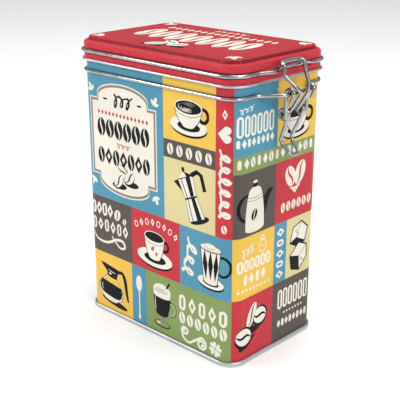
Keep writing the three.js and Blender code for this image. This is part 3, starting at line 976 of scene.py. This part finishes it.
def lid_shell():
    """The stepped lid: skirt with its wire's bead, shoulder, valley and printed raised panel. The panel's
    red and the valley's red are painted darker than the skirt's, as shade.
    """
    in_skirt = SKIRT_OFF - SHEET
    groove, half = 0.7, 1.5
    shoulder_off, shoulder_z = SKIRT_OFF - SHOULDER_R, SHOULDER_Z - SHOULDER_R
    step = PANEL_OFF + 1.3
    flat, under = PANEL_OFF - 0.1, LID_TOP_Z - SHEET
    angles = [math.radians(a) for a in range(-75, 76, 15)]
    channel = [(groove * math.cos(a), half * math.sin(a)) for a in angles]
    inside = [
        (flat, under), (PANEL_OFF + 0.3, under - 0.1), (PANEL_OFF + 0.6, under - 0.5),
        (step - 0.4, SHOULDER_Z - 0.1), (step, SHOULDER_Z - 0.3),
        *bow(shoulder_off, shoulder_z, SHOULDER_R - SHEET, 75, 0, 8), (in_skirt, LID_WIRE_Z + half),
        *[(in_skirt - deep, LID_WIRE_Z - high) for deep, high in channel],
        (in_skirt, LID_WIRE_Z - half), (in_skirt, HEM_Z),
    ]
    hem = bow(HEM_OFF, HEM_Z, HEM_R, 200, 450, 14)
    outside = [
        (SKIRT_OFF, HEM_Z + 1.5 * HEM_R), (SKIRT_OFF, LID_WIRE_Z - half),
        *[(SKIRT_OFF - deep, LID_WIRE_Z + high) for deep, high in channel],
        (SKIRT_OFF, LID_WIRE_Z + half), *bow(shoulder_off, shoulder_z, SHOULDER_R, 0, 75, 8),
        (step + 0.5, SHOULDER_Z + 0.08), (step + 0.2, SHOULDER_Z + 0.15), (step, SHOULDER_Z + 0.3),
        (step - 0.2, SHOULDER_Z + 0.7), *bow(PANEL_OFF, LID_TOP_Z - 1, 1, 15, 90, 8), (flat, LID_TOP_Z),
    ]
    skin = Skin("tin_lid")
    profile = Profile(inside + hem + outside)
    first_red = len(inside) + len(hem) - 1
    first_riser = profile.count - 11

    def coat(i):
        if i < first_red:
            return "bare_tinplate"
        if i < first_riser - 2:
            return "lid"
        # The segments at the riser's foot take the painted shade of the valley.
        return "lid_valley" if i < first_riser + 3 else "lid_panel"

    columns = corner_columns()
    loft(skin, profile, columns, coat)
    flat_panel(skin, flat, under, columns, False, "bare_tinplate")

    rim = [foot + out * flat for foot, out in map(around, columns)]
    edge = [(place.x, place.y) for place in rim]
    # The panel's base red is the lid's red painted darker, as shade on the top.
    places, triangles, picks = triangulated(edge, [], [("lid_panel", edge)] + lid_print())
    spots = []
    for place in places:
        near = min(rim, key=lambda other: (other.xy - place).length)
        spot = near if (near.xy - place).length < 1e-3 else place.to_3d()
        spots.append(skin.point((spot.x, spot.y, LID_TOP_Z)))
    for triangle, ink in zip(triangles, picks):
        skin.face([spots[i] for i in triangle], [Vector((0, 0, 1))] * 3, ink)
    return skin


def seal_ring():
    """The gasket in the lid, with a groove worn round it."""
    low = NECK_TOP_Z + CURL_R + GAP
    high = low + GASKET_THICK
    worn, far, bevel = low + 0.2, -GASKET_WIDE, 0.2
    skin = Skin("lid_gasket")
    points = [(0, low + bevel), (0, high - bevel), (-bevel, high), (far + bevel, high)]
    points += [(far, high - bevel), (far, low + bevel), (far + bevel, low), (-2.5, low)]
    points += [(-2.2, worn), (-1.5, worn), (-1.2, low), (-bevel, low)]
    loft(skin, Profile(points, True), corner_columns(), lambda i: "silicone")
    return skin


# ---------------------------------------------------------------- wires

def bent(stops):
    """A wire's centre line: straight runs between (point, bend radius) stops, with round bends."""
    line = [Vector(stops[0][0])]
    for i in range(1, len(stops) - 1):
        corner, radius = Vector(stops[i][0]), stops[i][1]
        back = (Vector(stops[i - 1][0]) - corner).normalized()
        ahead = (Vector(stops[i + 1][0]) - corner).normalized()
        turn = math.pi - back.angle(ahead)
        if not radius or turn < 0.05:
            line.append(corner)
            continue
        centre = corner + (back + ahead).normalized() * (radius / math.cos(turn / 2))
        start = corner + back * (radius * math.tan(turn / 2)) - centre
        axis = (-back).cross(ahead).normalized()
        count = max(2, round(turn / BEND_STEP))
        line += [centre + Quaternion(axis, turn * k / count) @ start for k in range(count + 1)]
    return line + [Vector(stops[-1][0])]


def coil(x, z, start, stop, y_from, y_to):
    """A helix about a line along Y at (x, z). Angles are in degrees from +X towards +Z."""
    count = round(abs(math.radians(stop - start)) / BEND_STEP)
    line = []
    for i in range(count + 1):
        angle = math.radians(start + (stop - start) * i / count)
        y = y_from + (y_to - y_from) * i / count
        line.append(Vector((x + EYE_R * math.cos(angle), y, z + EYE_R * math.sin(angle))))
    return line


def mirrored(line):
    return [Vector((p.x, -p.y, p.z)) for p in reversed(line)]


def tube(skin, line, looped=False):
    """A round wire along a line. Cut ends are slightly rounded over."""
    line = [p for i, p in enumerate(line) if i == 0 or (p - line[i - 1]).length > SAME]
    radii = [WIRE_R] * len(line)
    if looped and (line[0] - line[-1]).length < SAME:
        line, radii = line[:-1], radii[:-1]
    if not looped:
        first, last = (line[1] - line[0]).normalized(), (line[-2] - line[-1]).normalized()
        line = [line[0], line[0] + first * END_LONG] + line[1:-1] + [line[-1] + last * END_LONG, line[-1]]
        radii = [WIRE_R * END_THIN] + [WIRE_R] * (len(line) - 2) + [WIRE_R * END_THIN]
    count = len(line)

    def way(i):
        before = line[i - 1] if i or looped else line[0]
        after = line[(i + 1) % count] if i < count - 1 or looped else line[-1]
        arriving = (line[i] - before).normalized()
        leaving = (after - line[i]).normalized()
        return (arriving + leaving).normalized()

    ways = [way(i) for i in range(count)]
    side = ways[0].orthogonal().normalized()
    frames = []
    for i in range(count):
        if i:
            side = ways[i - 1].rotation_difference(ways[i]) @ side
        frames.append((side.copy(), ways[i].cross(side)))
    twist = 0
    if looped:
        last = ways[-1].rotation_difference(ways[0]) @ frames[-1][0]
        twist = math.atan2(last.dot(frames[0][1]), last.dot(frames[0][0]))
    rings = []
    for i, (across, up) in enumerate(frames):
        spokes = []
        for k in range(WIRE_SIDES):
            angle = math.tau * k / WIRE_SIDES - twist * i / count
            spokes.append(across * math.cos(angle) + up * math.sin(angle))
        rings.append([(skin.point(line[i] + spoke * radii[i]), spoke) for spoke in spokes])
    for i in range(count if looped else count - 1):
        here, there = rings[i], rings[(i + 1) % count]
        for k in range(WIRE_SIDES):
            m = (k + 1) % WIRE_SIDES
            corners = [here[k], here[m], there[m], there[k]]
            skin.face([c[0] for c in corners], [c[1] for c in corners], "zinc_wire")
    if not looped:
        for found, facing, order in ((rings[0], -ways[0], -1), (rings[-1], ways[-1], 1)):
            skin.face([c[0] for c in found][::order], [facing] * WIRE_SIDES, "zinc_wire")


def clasp(off, y, z, bend_r=0):
    """A stop on the clasp side: its place and the radius of the bend there."""
    return (HALF_LENGTH + off, y, z), bend_r


def hinge(off, y, z, bend_r=0):
    """A stop on the hinge side."""
    return (-HALF_LENGTH - off, y, z), bend_r


def lid_wire():
    """Two halves from the hinge round the lid to the catch, where their ends are welded."""
    ring_off = LID_WIRE_OFF
    skin = Skin("lid_wire_fine")
    halves = []
    for side, start, rise in ((-1, PAST_MIDDLE, 0), (1, 0, STRAND_RISE)):
        halves.append(bent([
            hinge(HINGE_OFF, start, BODY_WIRE_Z),
            hinge(HINGE_OFF, side * HINGE_HALF, BODY_WIRE_Z, 1.8),
            hinge(HINGE_OFF - 0.6, side * (HINGE_HALF + 0.4), LID_WIRE_Z - 2.4, TIGHT),
            hinge(ring_off, side * (HINGE_HALF + 2.6), LID_WIRE_Z, TIGHT),
            hinge(ring_off, side * (HALF_WIDTH + ring_off), LID_WIRE_Z, CORNER + ring_off),
            clasp(ring_off, side * (HALF_WIDTH + ring_off), LID_WIRE_Z, CORNER + ring_off),
            clasp(ring_off, side * (CATCH_HALF + 11), LID_WIRE_Z, 6),
            clasp(CATCH_OFF, side * (CATCH_HALF + 3), LID_WIRE_Z + rise, 4),
            clasp(CATCH_OFF, -CATCH_HALF, LID_WIRE_Z + rise),
        ]))
    first, second = halves
    tube(skin, first[::-1] + second[1:])
    return skin


def body_wire():
    """One closed wire: hinge coils, a run round the body in its bead, and the clasp's fixed bar."""
    ring_off = BODY_WIRE_OFF
    high, low = BODY_WIRE_Z + EYE_R, BODY_WIRE_Z - EYE_R
    inner = HINGE_COIL_Y - 1.5 * COIL_PITCH
    half = bent([
        hinge(HINGE_LEG_OFF, 0, high),
        hinge(HINGE_LEG_OFF, inner, high, TIGHT),
        hinge(HINGE_OFF, inner, high),
    ])
    half += coil(-HALF_LENGTH - HINGE_OFF, BODY_WIRE_Z, 90, 630, inner, HINGE_COIL_Y)
    half += bent([
        hinge(HINGE_OFF, HINGE_COIL_Y, low),
        hinge(HINGE_LEG_OFF, HINGE_COIL_Y, low, 1.4),
        hinge(ring_off + 0.6, HINGE_COIL_Y + 4, low, 2),
        hinge(ring_off, HINGE_COIL_Y + 9, BODY_WIRE_Z, 4),
        hinge(ring_off, HALF_WIDTH + ring_off, BODY_WIRE_Z, CORNER + ring_off),
        clasp(ring_off, HALF_WIDTH + ring_off, BODY_WIRE_Z, CORNER + ring_off),
        clasp(ring_off, STAND_OFF_Y[0], BODY_WIRE_Z, 5),
        clasp(F_OFF, STAND_OFF_Y[1], F_Z, 2.5),
        clasp(F_OFF, 0, F_Z),
    ])
    skin = Skin("body_wire_fine")
    tube(skin, half + mirrored(half)[1:], looped=True)
    return skin


def link():
    """Hook loop over the catch, two close strands, and pins out through the lever's coils."""
    drops = [(HOOK_OFF + out, HOOK_HALF + wide, HOOK_Z - down) for out, wide, down in HOOK_DROP]
    half = bent([
        clasp(HOOK_OFF, 0, HOOK_Z),
        clasp(HOOK_OFF, HOOK_HALF + 0.8, HOOK_Z, 1.8),
        clasp(*drops[0], TIGHT),
        clasp(*drops[1], 4),
        clasp(*WAIST, 5),
        clasp(F_OFF + 2.9, STRAND_HALF, F_Z, 2.5),
        clasp(M_OFF + 2.6, STRAND_HALF, M_Z + 3.4, 2),
        clasp(M_OFF, STRAND_HALF + 0.6, M_Z, 1.4),
        clasp(M_OFF, LEVER_HALF + 2.4, M_Z),
    ])
    skin = Skin("link_wire")
    tube(skin, mirrored(half) + half[1:])
    return skin


def lever():
    """Tails, eyes over the fixed bar, legs, coils round the link's pins, and the finger loop."""
    high, low = LEVER_HALF, LEVER_HALF - COIL_PITCH
    f_x, m_x = HALF_LENGTH + F_OFF, HALF_LENGTH + M_OFF
    half = [Vector((f_x + EYE_R - 1.6, high, F_Z - 4.4))]
    half += coil(f_x, F_Z, -15, 180, high, high)
    half += coil(m_x, M_Z, 0, -383, high, low)
    half += bent([
        ((m_x + EYE_R - 0.6, low, M_Z - 2.2), 0),
        clasp(*KNEE, 4),
        clasp(*FINGER_LOOP, 2.4),
        clasp(FINGER_LOOP[0], 0, FINGER_LOOP[2]),
    ])
    skin = Skin("lever_wire")
    tube(skin, half + mirrored(half)[1:])
    return skin


# ---------------------------------------------------------------- materials

def linear(screen):
    """Screen values from 0 to 255 as the linear values that a shader takes."""
    shares = [value / 255 for value in screen]
    return [x / 12.92 if x <= 0.04 else ((x + 0.055) / 1.055) ** 2.4 for x in shares]


class Shader:
    """A material's nodes, made one after another."""

    def __init__(self, name):
        self.material = bpy.data.materials.new(name)
        self.material.use_nodes = True
        self.tree = self.material.node_tree
        self.surface = self.tree.nodes["Principled BSDF"]
        self.place = self.tree.nodes.new("ShaderNodeTexCoord").outputs["Object"]

    def feed(self, socket, value):
        """Joins another node's output to a socket, or sets the socket to a plain value."""
        if isinstance(value, bpy.types.NodeSocket):
            self.tree.links.new(value, socket)
        else:
            socket.default_value = value

    def node(self, kind, inputs):
        made = self.tree.nodes.new("ShaderNode" + kind)
        for name, value in inputs.items():
            self.feed(made.inputs[name], value)
        return made.outputs

    def put(self, **values):
        for name, value in values.items():
            self.feed(self.surface.inputs[SOCKETS[name]], value)

    def noise(self, scale, detail=2.0, stretch=(1, 1, 1)):
        place = self.node("Mapping", {"Vector": self.place, "Scale": stretch})["Vector"]
        return self.node("TexNoise", {"Vector": place, "Scale": scale, "Detail": detail})["Fac"]

    def spread(self, source, low, high, start=0.3, stop=0.7):
        """Turns a noise into values from low to high."""
        ends = {"From Min": start, "From Max": stop, "To Min": low, "To Max": high}
        return self.node("MapRange", {"Value": source, **ends})["Result"]

    def mix(self, factor, a, b):
        """A colour between two, each one a colour or another node's output."""
        node = self.tree.nodes.new("ShaderNodeMix")
        node.data_type = "RGBA"
        self.feed(node.inputs["Factor"], factor)
        for socket, value in ((node.inputs[6], a), (node.inputs[7], b)):
            self.feed(socket, (*value, 1) if isinstance(value, (tuple, list)) else value)
        return node.outputs[2]

    def bump(self, source, strength):
        grain = {"Strength": strength, "Distance": BUMP_DEPTH, "Height": source}
        self.put(normal=self.node("Bump", grain)["Normal"])


SOCKETS = {
    "colour": "Base Color",
    "roughness": "Roughness",
    "normal": "Normal",
    "metallic": "Metallic",
    "specular": "Specular IOR Level",
    "coat": "Coat Weight",
    "coat_roughness": "Coat Roughness",
    "subsurface": "Subsurface Weight",
    "glow": "Emission Strength",
    "glow_colour": "Emission Color",
}


def clouded(name, cloud, dark, pale, dull, low, high):
    """A material that drifts between two colours, with its roughness from low to high."""
    shader = Shader(name)
    drift = shader.spread(shader.noise(*cloud), 0, 1)
    shader.put(colour=shader.mix(drift, dark, pale))
    shader.put(roughness=shader.spread(shader.noise(*dull), low, high))
    return shader


def ink_finish(name):
    """Printing ink under clear varnish: fine pale specks, faint clouding and a soft gloss."""
    base = [0.92 * value for value in linear(INKS[name])]
    deep = [value * 0.9 for value in base]
    pale = [value + (1 - value) * 0.22 for value in base]
    shader = Shader("print_" + name)
    clouds = shader.spread(shader.noise(35, 3), 0, 1)
    specks = shader.spread(shader.noise(1500, 1), 0, 0.35, 0.66, 0.74)
    pits = shader.spread(shader.noise(900, 1), 0, 0.5, 0.68, 0.76)
    printed = shader.mix(specks, shader.mix(clouds, deep, base), pale)
    dull = shader.spread(shader.noise(90, 3), 0.34, 0.46)
    shader.put(colour=shader.mix(pits, printed, deep), roughness=dull)
    shader.put(metallic=0.0, specular=0.06, coat=0.02, coat_roughness=0.2)
    shader.bump(shader.noise(600, 2), 0.06)
    return shader.material


def tinplate_finish():
    """Bare tinplate: bright, with rolling marks and a cloudy bloom."""
    dark, pale = (0.44, 0.45, 0.46), (0.58, 0.59, 0.60)
    shader = clouded("bare_tinplate_finish", (50, 4), dark, pale, (80, 2), 0.36, 0.46)
    shader.bump(shader.noise(700, 2, (1, 1, 0.04)), 0.025)
    shader.put(metallic=1.0)
    return shader.material


def zinc_finish():
    """Zinc-plated drawn wire: bright, with a fine grain and slightly dull patches."""
    dark, pale = (0.29, 0.295, 0.30), (0.48, 0.485, 0.49)
    shader = clouded("zinc_wire_finish", (160, 3), dark, pale, (260, 3), 0.08, 0.2)
    shader.bump(shader.noise(1400, 2), 0.1)
    shader.put(metallic=1.0)
    return shader.material


def silicone_finish():
    """Soft milky gasket."""
    dark, pale = (0.70, 0.68, 0.62), (0.80, 0.79, 0.74)
    shader = clouded("gasket_silicone", (120, 3), dark, pale, (400, 2), 0.45, 0.62)
    shader.bump(shader.noise(900, 2), 0.1)
    shader.put(subsurface=0.15)
    return shader.material


def floor_finish():
    """A pale floor that glows a little, so that the far parts of it stay pale."""
    shader = clouded("studio_floor", (3, 2), (0.93, 0.93, 0.93), (0.95, 0.95, 0.95), (20, 2), 0.7, 0.8)
    shader.put(glow=0.1, glow_colour=(1, 1, 1, 1))
    return shader.material


MAKERS = {"bare_tinplate": tinplate_finish, "zinc_wire": zinc_finish, "silicone": silicone_finish}
made = {}


def finish(name):
    """The material of a given name, made once."""
    if name not in made:
        made[name] = MAKERS[name]() if name in MAKERS else ink_finish(name)
    return made[name]


# ---------------------------------------------------------------- studio

def studio():
    """A pale floor, a pale surround and three large soft lights."""
    scene = bpy.context.scene
    scene.view_settings.view_transform = "Standard"
    bpy.ops.mesh.primitive_plane_add(size=12)
    floor = bpy.context.object
    floor.name = "studio_floor"
    floor.data.materials.append(floor_finish())
    world = bpy.data.worlds.new("studio_world")
    world.use_nodes = True
    nodes, join = world.node_tree.nodes, world.node_tree.links.new
    place = nodes.new("ShaderNodeTexCoord")
    height = nodes.new("ShaderNodeSeparateXYZ")
    shade = nodes.new("ShaderNodeValToRGB")
    join(place.outputs["Generated"], height.inputs["Vector"])
    join(height.outputs["Z"], shade.inputs["Fac"])
    join(shade.outputs["Color"], nodes["Background"].inputs["Color"])
    stops = shade.color_ramp.elements
    for _ in range(2):
        stops.new(0.5)
    for stop, (rise, grey) in zip(stops, ((0.07, 0.9), (0.13, 0.2), (0.26, 0.2), (0.42, 1))):
        stop.position = rise
        stop.color = (grey, grey, grey, 1)
    nodes["Background"].inputs["Strength"].default_value = 0.62
    scene.world = world
    target = Vector((0, 0, 0.08))
    lights = {
        "key": ((-0.8, -0.85, 0.75), 0.5, 8.2),
        "side": ((1.1, -0.25, 0.7), 0.6, 5),
        "top": ((0.1, 0.3, 1.3), 0.8, 8),
    }
    for name, (place, size, power) in lights.items():
        light = bpy.data.lights.new("light_" + name, "AREA")
        light.shape = "DISK"
        light.size = size
        light.energy = power
        lamp = bpy.data.objects.new("light_" + name, light)
        lamp.location = place
        lamp.rotation_mode = "QUATERNION"
        lamp.rotation_quaternion = (target - Vector(place)).to_track_quat("-Z", "Y")
        scene.collection.objects.link(lamp)


def camera():
    """Stands in front of the corner between the label face and the clasp face, looking down a little."""
    azimuth, elevation, distance = math.radians(43.66), math.radians(19.83), 0.5009
    target = Vector((TIN_X + 0.7, 0, 72.9)) * MM
    flat = math.cos(elevation)
    back = Vector((math.sin(azimuth) * flat, -math.cos(azimuth) * flat, math.sin(elevation)))
    data = bpy.data.cameras.new("camera")
    data.lens = 78.24
    data.clip_start = 0.01
    thing = bpy.data.objects.new("camera", data)
    thing.location = target + back * distance
    thing.rotation_mode = "QUATERNION"
    thing.rotation_quaternion = (-back).to_track_quat("-Z", "Y")
    bpy.context.scene.collection.objects.link(thing)
    bpy.context.scene.camera = thing


camera()
studio()
body_wall().piece("tin", "body_wall", "printed_tinplate")
base_panel().piece("tin", "base_panel", "bare_tinplate")
body_wire().piece("tin", "body_wire", "zinc_wire")
lid_shell().piece("lid", "lid_shell", "lid_tinplate")
seal_ring().piece("lid", "seal_ring", "silicone")
lid_wire().piece("lid", "lid_wire", "zinc_wire")
link().piece("link", "link", "zinc_wire")
lever().piece("lever", "lever", "zinc_wire")
